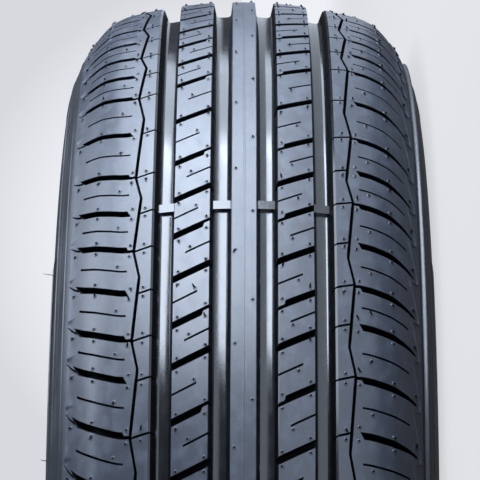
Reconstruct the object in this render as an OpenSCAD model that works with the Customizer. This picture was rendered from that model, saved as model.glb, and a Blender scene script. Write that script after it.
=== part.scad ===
// Tubeless radial car tyre, unmounted, moulded in one piece.
// The axis of rotation is Z and the origin is the tyre's centre, so the tyre lies on its lower sidewall.
// A cross-section is written as [axial distance from the mid-plane, radius].

/* [Tyre size] */
// Overall radius at the middle of the tread
tyre_radius = 311; // [309:0.5:320]
// Greatest width over both sidewalls
section_width = 185; // [181:1:189]
// Radius of the widest place of the sidewalls
section_radius = 248; // [244:1:252]
// Radius of the bead seats, for a 15 inch rim
bead_radius = 189.7; // [188.5:0.1:191]
// Distance between the outer faces of the two beads
bead_spread = 144; // [136:1:150]
// Width of each bead seat
bead_seat_width = 11; // [8:0.5:13]

/* [Rubber thickness] */
// Rubber and cords under the tread grooves
undertread = 5.6; // [4:0.2:7]
// Sidewall at its widest place
sidewall = 6.2; // [4.5:0.1:8]

/* [Tread profile] */
// Radius of the crown across the tread
crown_radius = 230; // [200:10:320]
// Axial distance from the mid-plane where the shoulder starts to fall away
shoulder_start = 62; // [58:0.5:64]
// Axial distance from the mid-plane to the outer end of the shoulder slots
slot_reach = 79; // [76:0.5:81]

/* [Straight grooves] */
// Depth of the four straight grooves
groove_depth = 8; // [5:0.5:9]
// Half the width of the centre rib
centre_rib_half = 6; // [4.5:0.1:7]
// Width of each inner groove
inner_groove = 10; // [8:0.1:11]
// Width of each intermediate rib
middle_rib = 17.2; // [15:0.1:18.5]
// Width of each outer groove
outer_groove = 10.4; // [8.5:0.1:11]
// Width of the bevel on the outer edge of each outer groove
groove_bevel = 1; // [0.4:0.1:1.6]
// Height of the wear bars over the groove floor
wear_bar_height = 1.6; // [1:0.1:2]
// Length of each wear bar around the tyre
wear_bar_length = 5.2; // [4:0.2:10]
// Number of places around the tyre with wear bars
wear_bar_places = 6; // [4:1:8]
// Angle of the first wear bar
wear_bar_angle = 2.6; // [0:0.1:90]

/* [Pitches] */
// Lengths of the five pitch sizes before they are fitted to the circumference
pitch_sizes = [20.9, 22, 24.4, 27.1, 31.3];
// Angle where the sequence of pitches starts
first_pitch_angle = 332.3; // [0:0.1:360]

/* [Slots] */
// Width of the slots of the intermediate ribs, across the slot
rib_slot = 3; // [2:0.1:4]
// Width of the slots of the shoulders, across the slot
shoulder_slot = 3.1; // [2:0.1:4]
// Depth of the slots
slot_depth = 6.4; // [4:0.2:7]
// Width of the sipes
sipe = 0.7; // [0.5:0.1:1]
// Depth of the sipes
sipe_depth = 5.2; // [4.6:0.2:6]
// Width of the zigzag groove
zigzag = 1.3; // [1:0.1:2]
// Axial distance from the mid-plane to the outer corners of the zigzag groove
zigzag_outer = 51.8; // [50:0.1:53]
// Axial distance from the mid-plane to the inner corners of the zigzag groove
zigzag_inner = 48.9; // [47:0.1:50]
// Share of two pitches that the short leg of the zigzag groove takes
zigzag_short_leg = 0.3; // [0.2:0.05:0.5]

/* [Hidden] */
$fn = 240;

// Sizes of the pitches in their order around the tyre: 0 is the shortest size and 4 the longest.
pitch_order = [1, 1, 1, 4, 4, 2, 1, 2, 2, 0, 3, 3, 3, 4, 3, 2, 2, 1, 1, 2, 2, 1, 1, 3, 3, 2];
pitch_repeats = 3;
pitch_count = len(pitch_order) * pitch_repeats;

function total(v, i = 0) = i < len(v) ? v[i] + total(v, i + 1) : 0;
function partial_length(n) = n == 0 ? 0 : partial_length(n - 1) + pitch_sizes[pitch_order[n - 1]];
order_length = total([for (k = pitch_order) pitch_sizes[k]]);
partial_lengths = [for (n = [0:len(pitch_order)]) partial_length(n)];
// Length along the sequence of pitches to slot i, and the angle there.
function length_to(i) =
    let (turn = floor(i / len(pitch_order)), rest = i - turn * len(pitch_order))
    turn * order_length + partial_lengths[rest];
function pitch_angle(i) =
    first_pitch_angle - 360 * length_to(i) / (order_length * pitch_repeats);
// Distance along the tread from slot i to the next slot on this side, which is slot i + side.
function gap_to_next(i, side) =
    tyre_radius * PI / 180 * abs(pitch_angle(i + side) - pitch_angle(i));

// Axial places of the rib and groove edges.
middle_rib_in = centre_rib_half + inner_groove;
middle_rib_out = middle_rib_in + middle_rib;
narrow_rib_in = middle_rib_out + outer_groove;

// Fall of the crown below the overall radius, at axial distance z.
function crown_fall(z) = (z * z - centre_rib_half * centre_rib_half) / (2 * crown_radius);
half_width = section_width / 2;
shoulder_fall = crown_fall(shoulder_start);
side_fall = tyre_radius - section_radius;
// Point on the flank between the shoulder's start and the widest place, as shares of the way out and down.
function flank(share_out, share_down) = [
    shoulder_start + (half_width - shoulder_start) * share_out,
    tyre_radius - shoulder_fall - (side_fall - shoulder_fall) * share_down];
shoulder_points = [flank(0, 0), flank(0.275, 0.077), flank(0.61, 0.302), flank(0.71, 0.385)];
// Radius of the tread surface at axial distance z.
function tread_r(z) = z <= shoulder_start ? tyre_radius - crown_fall(z) : lookup(z, shoulder_points);

// Places on a slot line, as [axial distance from the mid-plane, distance along the tread].
// They run from the inner groove over the intermediate rib, the narrow rib and the shoulder.
slot_line = [
    [middle_rib_in, 0.4],
    [middle_rib_out, 9.3],
    [narrow_rib_in, 13.2],
    [zigzag_outer, 15.6],
    [shoulder_start - 8, 14.2],
    [shoulder_start + 6.5, 10.7],
    [slot_reach, 4.3]];
function slot_at(z) = lookup(z, slot_line);

// Section of a straight groove: steep upper walls, feet that slope in, and a flat floor.
steep_share = 0.68;
steep_in = 0.9;
foot_in = 2.3;
function groove_points(z1, z2, bevel = 0) = [
    [z1, tread_r(z1)],
    [z1 + steep_in, tread_r(z1) - groove_depth * steep_share],
    [z1 + foot_in, tread_r(z1) - groove_depth],
    [z2 - bevel - foot_in, tread_r(z2) - groove_depth],
    [z2 - bevel - steep_in, tread_r(z2) - groove_depth * steep_share],
    [z2 - bevel, tread_r(z2) - bevel],
    if (bevel > 0) [z2, tread_r(z2)]];

bead_out = bead_spread / 2;
bead_heel = 4;
bead_toe = bead_out - bead_heel - bead_seat_width;
// Outer side of one half of the section, from the middle of the tread to the bead seat.
outer_half = concat(
    groove_points(centre_rib_half, middle_rib_in),
    groove_points(middle_rib_out, narrow_rib_in, groove_bevel),
    shoulder_points,
    [
        // Step and thin ridge where the tread rubber meets the sidewall.
        flank(0.74, 0.43),
        flank(0.785, 0.445),
        flank(0.81, 0.47),
        flank(0.795, 0.51),
        flank(0.885, 0.59),
        flank(0.95, 0.72),
        flank(0.987, 0.865),
        flank(1, 1),
        [half_width - 0.5, section_radius - 8],
        [half_width - 2.4, section_radius - 17],
        [half_width - 5.6, section_radius - 25.5],
        [half_width - 9, section_radius - 32.5],
        // Rib that guards the rim's edge.
        [half_width - 9.8, section_radius - 36.5],
        [half_width - 11.9, section_radius - 40],
        [bead_out + 3.2, bead_radius + 12.5],
        [bead_out, bead_radius + 8],
        [bead_out - 0.6, bead_radius + 3],
        [bead_out - 2.4, bead_radius + 0.7],
        [bead_out - bead_heel, bead_radius],
        [bead_toe + 2, bead_radius]
    ]);
// Inner side of one half, from the bead's toe to the middle of the crown.
liner_radius = tyre_radius - groove_depth - undertread;
inner_half = [
    [bead_toe + 1.2, bead_radius + 0.6],
    [bead_toe + 1.6, bead_radius + 3],
    [bead_out - 9, bead_radius + 14],
    [half_width - 19, bead_radius + 26],
    [half_width - sidewall - 5.4, section_radius - 22],
    [half_width - sidewall - 1.2, section_radius - 8],
    [half_width - sidewall, section_radius],
    [half_width - sidewall - 1.6, section_radius + 12],
    [half_width - sidewall - 6, section_radius + 23],
    [half_width - sidewall - 14, section_radius + 33],
    [shoulder_start, liner_radius - 7],
    [middle_rib_out, liner_radius - 2.2],
    [centre_rib_half, liner_radius]];

function mirrored(v) = [for (i = [len(v) - 1:-1:0]) [-v[i][0], v[i][1]]];

module section_ring() {
    rotate_extrude()
        polygon([for (p = concat(outer_half, inner_half, mirrored(inner_half), mirrored(outer_half)))
            [p[1], p[0]]]);
}

// Cut with straight walls, square to the tread surface between the two axial places of across.
// The outline's points are [axial distance from the mid-plane, distance along the tread].
// side is 1 for the upper half of the tread and -1 for the lower; the pattern turns over between them.
above_tread = 10;
module tread_cut(angle, side, across, depth, outline) {
    slope = atan2(tread_r(across[0]) - tread_r(across[1]), across[1] - across[0]);
    rotate([0, 0, angle])
        translate([tread_r(across[0]), 0, side * across[0]])
            rotate([0, 90 - side * slope, 0])
                translate([0, 0, -depth])
                    linear_extrude(depth + above_tread)
                        polygon([for (p = outline) [
                            -side * (p[0] - across[0]) / cos(slope),
                            -side * p[1] * tread_r(p[0]) / tyre_radius]]);
}

// How far a cut runs past the rib's edge, so that it is open to the groove down to its floor.
overrun = foot_in - 0.4;
middle_rib_across = [middle_rib_in, middle_rib_out];
rib_slope = (slot_line[1][1] - slot_line[0][1]) / middle_rib;
function on_slope(z) = slot_line[0][1] + rib_slope * (z - middle_rib_in);
// Half the extent along the tread of a slot of width w across a sloping line.
function half_along(w) = w / 2 * sqrt(1 + rib_slope * rib_slope);

// Slot of the intermediate rib. Every second one narrows where it meets the inner groove.
narrow_end_length = 3;
module rib_slot_cut(i, side) {
    z1 = middle_rib_in - overrun;
    z2 = middle_rib_out + overrun;
    step_from = middle_rib_in + narrow_end_length;
    step_to = step_from + 0.8;
    h = half_along(rib_slot);
    plain_end = [[z1, on_slope(z1) + h]];
    narrow_end = [
        [step_to, on_slope(step_to) + h],
        [step_from, on_slope(step_from) - h / 5],
        [z1, on_slope(z1) - h / 5]];
    tread_cut(pitch_angle(i), side, middle_rib_across, slot_depth, concat(
        [[z1, on_slope(z1) - h], [z2, on_slope(z2) - h], [z2, on_slope(z2) + h]],
        i % 2 == 0 ? plain_end : narrow_end));
}

// Sipe of the intermediate rib, half-way between two slots, open to the outer or the inner groove in turn.
rib_sipe_stop = 5.8;
module rib_sipe_cut(i, side) {
    open_outside = i % 2 == 0;
    z1 = middle_rib_in + (open_outside ? rib_sipe_stop : -overrun);
    z2 = middle_rib_out + (open_outside ? overrun : -rib_sipe_stop);
    along = gap_to_next(i, side) / 2;
    h = half_along(sipe);
    tread_cut(pitch_angle(i), side, middle_rib_across, sipe_depth, [
        [z1, on_slope(z1) + along - h],
        [z2, on_slope(z2) + along - h],
        [z2, on_slope(z2) + along + h],
        [z1, on_slope(z1) + along + h]]);
}

// Shoulder slots start here, in from the place where the shoulder falls away.
shoulder_slot_in = shoulder_start - 8;
narrow_rib_across = [narrow_rib_in, shoulder_slot_in];
shoulder_across = [shoulder_slot_in, slot_reach];

// Two legs of the zigzag groove, from slot i to the next but one on this side.
module zigzag_cut(i, side) {
    span = gap_to_next(i, side) + gap_to_next(i + side, side);
    start = slot_at(zigzag_outer);
    corner = start + span * zigzag_short_leg;
    zigzag_leg(i, side, zigzag_outer, start, zigzag_inner, corner);
    zigzag_leg(i, side, zigzag_inner, corner, zigzag_outer, start + span);
}

// One leg of the zigzag groove, with its ends at distances from and to along the tread from slot i.
module zigzag_leg(i, side, z_from, from, z_to, to) {
    middle = (from + to) / 2;
    half = (to - from) / 2;
    h = zigzag / 2;
    past = 0.4;
    angle = pitch_angle(i) - side * middle / tyre_radius * 180 / PI;
    tread_cut(angle, side, narrow_rib_across, sipe_depth, [
        [z_from - h, -half - past],
        [z_from + h, -half - past],
        [z_to + h, half + past],
        [z_to - h, half + past]]);
}

// The shoulder bulges out over its slope, so a cut is this much deeper in its middle than at its ends.
slot_bend = slot_line[5][0];
shoulder_bulge = tread_r(slot_bend)
    - lookup(slot_bend, [for (z = shoulder_across) [z, tread_r(z)]]);

// Slot of the shoulder. Its inner end is cut off on a slant, and so is its outer end.
module shoulder_slot_cut(i, side) {
    h = shoulder_slot / 2;
    z1 = shoulder_slot_in;
    z2 = slot_bend;
    z3 = slot_reach;
    tread_cut(pitch_angle(i), side, shoulder_across, slot_depth - shoulder_bulge, [
        [z1 + h, slot_at(z1 + h) - h],
        [z2, slot_at(z2) - h],
        [z3 + h, slot_at(z3) - h],
        [z3 - h, slot_at(z3) + h],
        [z2, slot_at(z2) + h],
        [z1, slot_at(z1) + h]]);
}

// Neck that joins every second shoulder slot to the zigzag groove.
neck = 1.4;
module shoulder_neck_cut(i, side) {
    z1 = zigzag_outer - zigzag / 4;
    z2 = shoulder_slot_in + shoulder_slot;
    edge = shoulder_slot / 2;
    tread_cut(pitch_angle(i), side, narrow_rib_across, sipe_depth, [
        [z1, slot_at(shoulder_slot_in) + edge - neck],
        [z2, slot_at(z2) + edge - neck],
        [z2, slot_at(z2) + edge],
        [z1, slot_at(shoulder_slot_in) + edge]]);
}

// Sipe of the shoulder, half-way between two slots and closed at both ends.
module shoulder_sipe_cut(i, side) {
    z1 = shoulder_slot_in + 1;
    z2 = slot_reach - 3;
    along = gap_to_next(i, side) / 2;
    h = sipe / 2;
    tread_cut(pitch_angle(i), side, shoulder_across, sipe_depth - shoulder_bulge, [
        [z1, slot_at(z1) + along - h],
        [z2, slot_at(z2) + along - h],
        [z2, slot_at(z2) + along + h],
        [z1, slot_at(z1) + along + h]]);
}

module tread_cuts() {
    for (i = [0:pitch_count - 1], side = [-1, 1]) {
        rib_slot_cut(i, side);
        rib_sipe_cut(i, side);
        shoulder_slot_cut(i, side);
        shoulder_sipe_cut(i, side);
        if (i % 2 == 1) {
            zigzag_cut(i, side);
            shoulder_neck_cut(i, side);
        }
    }
}

// Bar across a straight groove that shows when the tread is worn down. It is sunk into the groove's floor.
module wear_bar(groove_in, groove_width) {
    sunk = 1;
    floor_r = tread_r(groove_in + groove_width / 2) - groove_depth;
    translate([floor_r - sunk, -wear_bar_length / 2, groove_in + steep_in / 2])
        cube([wear_bar_height + sunk, wear_bar_length, groove_width - steep_in]);
}

module wear_bars() {
    for (k = [0:wear_bar_places - 1], flip = [0, 1])
        rotate([0, 0, wear_bar_angle + k * 360 / wear_bar_places])
            mirror([0, 0, flip]) {
                wear_bar(centre_rib_half, inner_groove);
                wear_bar(middle_rib_out, outer_groove);
            }
}

module tyre() {
    color([0.16, 0.17, 0.19])
        union() {
            difference() {
                section_ring();
                tread_cuts();
            }
            wear_bars();
        }
}

tyre();
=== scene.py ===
"""A car tyre that lies on its lower sidewall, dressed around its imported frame.

Lengths in the pattern classes are millimetres, as on a tyre maker's drawing, and every mesh is made in
metres. A place on the tread is given by z, the axial distance from the mid-plane, by q, the distance along
the tread from a slot, and by depth, measured square to the tread's surface. The lower half of the tread is
the upper half turned over, so the same code builds both, each with its own Half.
"""

from __future__ import annotations

import logging
import math
from collections.abc import Callable, Sequence
from dataclasses import dataclass, field
from enum import Enum

import bmesh
import bpy
import numpy as np
from mathutils import Matrix, Vector

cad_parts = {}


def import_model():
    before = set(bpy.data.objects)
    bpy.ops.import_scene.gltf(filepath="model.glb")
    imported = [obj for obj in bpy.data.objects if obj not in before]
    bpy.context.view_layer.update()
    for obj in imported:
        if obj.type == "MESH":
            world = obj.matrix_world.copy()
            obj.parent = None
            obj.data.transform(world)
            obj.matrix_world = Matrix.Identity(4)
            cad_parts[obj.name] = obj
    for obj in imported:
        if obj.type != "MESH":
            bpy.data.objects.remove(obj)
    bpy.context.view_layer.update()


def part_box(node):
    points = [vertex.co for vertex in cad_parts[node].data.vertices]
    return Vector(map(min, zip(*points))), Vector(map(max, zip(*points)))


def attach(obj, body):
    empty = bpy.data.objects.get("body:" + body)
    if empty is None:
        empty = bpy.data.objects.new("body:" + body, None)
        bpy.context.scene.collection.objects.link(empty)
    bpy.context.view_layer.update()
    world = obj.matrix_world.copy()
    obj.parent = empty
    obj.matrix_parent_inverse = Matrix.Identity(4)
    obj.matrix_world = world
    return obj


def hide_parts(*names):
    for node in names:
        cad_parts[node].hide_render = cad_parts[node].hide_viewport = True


log = logging.getLogger("tyre")
MM = 0.001
BODY = "root"
NODE = "tyre"
SHARP_ANGLE = math.radians(28)

Pair = tuple[float, float]
Line = tuple[Pair, ...]
Triple = tuple[float, float, float]
Faces = list[tuple[int, ...]]


class Half(Enum):
    """One half of the tread: the sign is its side of the mid-plane."""

    UPPER = 1
    LOWER = -1


class Skin(Enum):
    """Kinds of surface on the tread, in the order of a piece's material slots. GROOVE and CUT take darker
    finishes than BLOCK: painted shade in the grooves and cuts.
    """

    BLOCK = 0
    GROOVE = 1
    CUT = 2
    HIDDEN = 3


def through(points: Sequence[Pair], steps: int = 8) -> np.ndarray:
    """Smooth line through points, with a cubic between each two.

    Args:
        points: Points that the line passes through.
        steps: Number of stretches between two points.

    Returns:
        Array of points on the line, with both ends.
    """
    p = np.asarray(points, float)
    ends = np.vstack([2 * p[0] - p[1], p, 2 * p[-1] - p[-2]])
    t = np.linspace(0, 1, steps, endpoint=False)[:, None]
    line = []
    for a, b, c, d in zip(ends[:-3], ends[1:-2], ends[2:-1], ends[3:]):
        square = (2 * a - 5 * b + 4 * c - d) * t**2
        cube = (3 * b - a - 3 * c + d) * t**3
        line.append(0.5 * (2 * b + (c - a) * t + square + cube))
    return np.vstack([*line, p[-1:]])


@dataclass(frozen=True)
class Pitches:
    """Slots round the tyre, at five pitch lengths in an irregular order so that the tread makes no tone."""

    sizes: tuple[float, ...] = (20.9, 22.0, 24.4, 27.1, 31.3)
    order: tuple[int, ...] = (1, 1, 1, 4, 4, 2, 1, 2, 2, 0, 3, 3, 3, 4, 3, 2, 2, 1, 1, 2, 2, 1, 1, 3, 3, 2)
    repeats: int = 3
    first_angle: float = 332.3
    radius: float = 311.0

    @property
    def count(self) -> int:
        """Number of slots on each half of the tread."""
        return len(self.order) * self.repeats

    def angle(self, i: int) -> float:
        """Angle of slot i round the tyre, in radians."""
        sizes = [self.sizes[k] for k in self.order]
        turn, rest = divmod(i, len(sizes))
        share = (turn + sum(sizes[:rest]) / sum(sizes)) / self.repeats
        return math.radians(self.first_angle - 360 * share)

    def gap(self, i: int, half: Half, steps: int = 1) -> float:
        """Distance along the tread from slot i to a later slot on this half."""
        return self.radius * abs(self.angle(i + half.value * steps) - self.angle(i))


@dataclass(frozen=True)
class Crown:
    """Outer surface of the tread from the mid-plane to the edge of the shoulder."""

    radius: float = 311.0
    centre_half: float = 6.0
    across: float = 230.0
    shoulder: Line = (
        (50.0, 305.64), (56.0, 304.26), (62.0, 302.6), (66.2, 300.8), (70.4, 298.3),
        (75.6, 293.1), (80.6, 286.3), (83.7, 281.7),
    )

    def line(self) -> np.ndarray:
        """Dense line of [z, radius] along the surface."""
        z = np.arange(0, self.shoulder[0][0], 0.5)
        flat = np.clip(z * z - self.centre_half**2, 0, None) / (2 * self.across)
        return np.vstack([np.column_stack([z, self.radius - flat]), through(self.shoulder)])

    def at(self, z: np.ndarray, depth: np.ndarray | float = 0.0) -> tuple[np.ndarray, np.ndarray]:
        """Place under the surface.

        Args:
            z: Axial distances from the mid-plane.
            depth: Depths square to the surface, below zero for outside it.

        Returns:
            Axial distances and radii of the places.
        """
        line = self.line()
        slope = np.gradient(line[:, 1], line[:, 0])
        z = np.asarray(z, float)
        r = np.interp(z, line[:, 0], line[:, 1])
        fall = np.interp(z, line[:, 0], slope)
        size = np.hypot(1, fall)
        return z + depth * fall / size, r - depth / size


@dataclass(frozen=True)
class Layout:
    """Axial places, widths and depths of the pattern.

    The slant is the width of a slanted slot along the tread for each millimetre across it. The ends of a
    shoulder slot are how far its two sides pass shoulder_out, and the share of its width that is left there.
    A tooth's line is given as shares of the pitch and axial distances.
    """

    centre_rib: float = 6.0
    rib_in: float = 16.0
    rib_out: float = 33.2
    narrow_in: float = 43.6
    zigzag_in: float = 48.9
    zigzag_out: float = 51.8
    zigzag: float = 1.3
    zigzag_inward: float = 0.5
    short_leg: float = 0.3
    shoulder_in: float = 54.0
    shoulder_out: float = 79.0
    shoulder_sipe: Pair = (54.9, 77.0)
    slot: float = 3.0
    slant: float = 1.126
    sipe: float = 0.82
    sipe_stop: float = 5.8
    narrow_sipe: float = 0.92
    narrow_stop: float = 49.7
    narrow_overrun: float = 2.4
    notch_reach: Pair = (3.0, 3.7)
    notch_side: float = -0.2
    slot_lead: float = 1.6
    taper_from: float = 70.0
    upper_end: Triple = (0.4, -2.6, 1.12)
    lower_end: Triple = (1.6, 1.2, 0.3)
    neck_width: float = 1.4
    neck_line: float = 6.0
    neck_reach: Pair = (0.3, 3.0)
    tail_line: Line = ((77.6, 0.6), (79.5, 0.5), (81.0, 0.35), (82.4, 0.12))
    tail_offset: float = 0.6
    tooth_line: Line = ((0.0, 82.0), (0.17, 81.5), (0.40, 80.4), (0.67, 79.2), (0.87, 78.0))
    tooth_jump: float = 1.6
    tooth_outer: float = 82.3
    groove_depth: float = 8.0
    overrun: float = 1.9
    inner_line: Line = ((16.0, 0.4), (33.2, 9.3), (43.6, 13.2), (51.8, 15.6))
    upper_line: Line = (
        (54.0, 14.2), (58.0, 13.7), (62.0, 12.5), (66.7, 10.7), (71.5, 8.3),
        (75.8, 5.4), (78.6, 2.6), (80.7, -0.3), (82.2, -3.2), (84.0, -6.5),
    )
    lower_line: Line = (
        (54.0, 13.9), (59.0, 13.4), (63.5, 12.5), (68.2, 11.6), (73.0, 10.4),
        (77.0, 9.3), (80.0, 7.9), (84.0, 6.0),
    )

    def q(self, z: np.ndarray | float, half: Half) -> np.ndarray:
        """Distance along the tread of the slot line at axial distance z."""
        outer = self.upper_line if half is Half.UPPER else self.lower_line
        line = np.vstack([self.inner_line, through(outer)])
        (z0, q0), (z1, q1) = self.inner_line[:2]
        inside = q0 + (q1 - q0) / (z1 - z0) * (np.asarray(z) - z0)
        return np.where(np.asarray(z) < z1, inside, np.interp(z, line[:, 0], line[:, 1]))


def resample(chain: np.ndarray, step: float) -> np.ndarray:
    """Chain of points with its long stretches divided, so that it bends smoothly with the tyre.

    Args:
        chain: Points of the chain.
        step: Longest stretch wanted.

    Returns:
        The points with those that were added.
    """
    parts = []
    for a, b in zip(chain[:-1], chain[1:]):
        count = max(1, math.ceil(float(np.hypot(*(b - a))) / step))
        parts.append(a + (b - a) * np.arange(count)[:, None] / count)
    return np.vstack([*parts, chain[-1:]])


def widened(loop: np.ndarray, by: float) -> np.ndarray:
    """Closed outline with every edge moved outwards.

    Args:
        loop: Points of the outline.
        by: Distance that the edges move.

    Returns:
        Outline with as many points.
    """
    x, y = loop.T
    turn = np.sign(np.sum(x * np.roll(y, -1) - y * np.roll(x, -1)))
    edge = np.roll(loop, -1, 0) - loop
    edge = edge / np.maximum(np.hypot(*edge.T), 1e-9)[:, None]
    normal = np.column_stack([edge[:, 1], -edge[:, 0]]) * turn
    before = np.roll(normal, 1, 0)
    reach = by / np.maximum(1 + np.sum(normal * before, 1), 0.5)
    return loop + (normal + before) * reach[:, None]


@dataclass
class Shape:
    """Mesh data under construction: points in millimetres, faces, and one skin for each face."""

    points: list[np.ndarray] = field(default_factory=list)
    faces: Faces = field(default_factory=list)
    skins: list[int] = field(default_factory=list)
    count: int = 0

    def add(self, points: np.ndarray, faces: Faces, skin: Skin | Sequence[int] = Skin.CUT) -> None:
        """Add points and the faces between them.

        Args:
            points: Array of points.
            faces: Faces as indices into points.
            skin: Skin of all the faces, or one number for each.
        """
        start = self.count
        self.points.append(points)
        self.faces.extend(tuple(start + k for k in f) for f in faces)
        self.skins.extend([skin.value] * len(faces) if isinstance(skin, Skin) else list(skin))
        self.count += len(points)

    def mesh(self, name: str) -> bpy.types.Object:
        """Object made of everything that was added, in metres."""
        data = bpy.data.meshes.new(name)
        data.from_pydata(np.vstack(self.points) * MM, [], self.faces)
        data.polygons.foreach_set("material_index", np.asarray(self.skins, np.int32))
        data.update()
        piece = bpy.data.objects.new(name, data)
        bpy.context.scene.collection.objects.link(piece)
        return piece


def quads(rings: int, size: int, wrap: bool = True, around: bool = False) -> Faces:
    """Quads between neighbouring rings of points.

    Args:
        rings: Number of rings.
        size: Number of points in each ring.
        wrap: True where each ring is a closed loop.
        around: True where the last ring meets the first.

    Returns:
        Faces as indices, ring after ring.
    """
    corners = ((0, 0), (0, 1), (1, 1), (1, 0))
    return [
        tuple((r + down) % rings * size + (k + along) % size for down, along in corners)
        for r in range(rings if around else rings - 1)
        for k in range(size if wrap else size - 1)
    ]


def flipped(faces: Faces, when: bool = True) -> Faces:
    """Faces that look the other way, when that is wanted."""
    return [face[::-1] for face in faces] if when else faces


def lofted(rings: Sequence[np.ndarray]) -> tuple[np.ndarray, Faces]:
    """Closed body through rings of points, each made of one chain and of another chain back.

    Args:
        rings: Rings with as many points each.

    Returns:
        Points and faces.
    """
    size = len(rings[0])
    top = (len(rings) - 1) * size
    faces = quads(len(rings), size)
    for k in range(size // 2 - 1):
        cap = (k, k + 1, size - 2 - k, size - 1 - k)
        faces += [cap[::-1], tuple(top + corner for corner in cap)]
    return np.vstack(rings), faces


def capped(rings: Sequence[np.ndarray]) -> tuple[np.ndarray, Faces]:
    """Tube through rings of points, closed at its last ring.

    Args:
        rings: Rings with as many points each.

    Returns:
        Points and faces.
    """
    size = len(rings[0])
    last = (len(rings) - 1) * size
    return np.vstack(rings), [*quads(len(rings), size), tuple(last + k for k in range(size))]


def turned(axial: np.ndarray, radius: np.ndarray, segments: int) -> np.ndarray:
    """Points of a line turned about the tyre's axis, one copy of the line after another.

    Args:
        axial: Axial distances of the line's points.
        radius: Radii of the line's points.
        segments: Number of copies.

    Returns:
        Array of points.
    """
    angle = np.arange(segments) * 2 * math.pi / segments
    across = [np.outer(np.cos(angle), radius), np.outer(np.sin(angle), radius)]
    return np.stack([*across, np.outer(np.ones_like(angle), axial)], -1).reshape(-1, 3)


def revolved(profile: np.ndarray, segments: int) -> tuple[np.ndarray, Faces]:
    """Open surface turned from a line of [axial distance, radius].

    Args:
        profile: Points of the line.
        segments: Number of segments round the axis.

    Returns:
        Points and faces.
    """
    faces = [(a, d, c, b) for a, b, c, d in quads(segments, len(profile), wrap=False, around=True)]
    return turned(*profile.T, segments), faces


@dataclass(frozen=True)
class Wrap:
    """Takes places on the flat pattern to points on the tyre."""

    crown: Crown
    half: Half

    def points(
        self, anchor: np.ndarray | float, z: np.ndarray, q: np.ndarray, depth: np.ndarray | float
    ) -> np.ndarray:
        """Points on the tyre.

        Args:
            anchor: Angle from which q is measured, in radians.
            z: Axial distances from the mid-plane.
            q: Distances along the tread.
            depth: Depths below the surface.

        Returns:
            Array of points in millimetres.
        """
        axial, radius = self.crown.at(z, depth)
        angle = anchor - self.half.value * np.asarray(q) / self.crown.radius
        return np.column_stack([radius * np.cos(angle), radius * np.sin(angle), self.half.value * axial])


@dataclass(frozen=True)
class Cutter:
    """Body of one slot, sipe or groove to take out of the tread. Its upper edges flare to a small bevel."""

    depth: float
    bevel: float
    above: float = 1.5

    @property
    def levels(self) -> Line:
        """Levels from the floor up, as depth and how far the body is widened there."""
        return (self.depth, 0.0), (self.bevel, 0.0), (0.0, self.bevel), (-self.above, self.bevel + self.above)

    def body(
        self, wrap: Wrap, anchor: float, left: np.ndarray, right: np.ndarray
    ) -> tuple[np.ndarray, Faces]:
        """Body between two chains of [z, q] with as many points each.

        Args:
            wrap: Where the pattern lies on the tyre.
            anchor: Angle of the slot.
            left: Chain on one side.
            right: Chain on the other side.

        Returns:
            Points and faces.
        """
        loop = np.vstack([left, right[::-1]])
        return lofted([wrap.points(anchor, *widened(loop, out).T, depth) for depth, out in self.levels])


Cut = tuple[Cutter, np.ndarray, np.ndarray]


def combine(piece: bpy.types.Object, operation: str, shape: Shape) -> None:
    """Combine a closed piece with the closed bodies of a shape.

    Args:
        piece: Piece that is changed.
        operation: Name of the boolean operation.
        shape: Bodies that go in or come out.
    """
    other = shape.mesh("cutter")
    face_outwards(other)
    modifier = piece.modifiers.new(operation.lower(), "BOOLEAN")
    modifier.operation = operation
    modifier.solver = "MANIFOLD"
    modifier.object = other
    graph = bpy.context.evaluated_depsgraph_get()
    data = bpy.data.meshes.new_from_object(piece.evaluated_get(graph))
    piece.modifiers.clear()
    old, piece.data = piece.data, data
    bpy.data.meshes.remove(old)
    bpy.data.objects.remove(other)


def face_outwards(piece: bpy.types.Object) -> None:
    """Turn the faces of a closed piece outwards, if they look in."""
    data = piece.data
    data.calc_loop_triangles()
    corners = np.zeros(len(data.loop_triangles) * 3, np.int32)
    data.loop_triangles.foreach_get("vertices", corners)
    points = np.zeros(len(data.vertices) * 3)
    data.vertices.foreach_get("co", points)
    a, b, c = points.reshape(-1, 3)[corners.reshape(-1, 3)].transpose(1, 0, 2)
    if np.sum(a * np.cross(b, c)) < 0:
        data.flip_normals()


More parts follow.
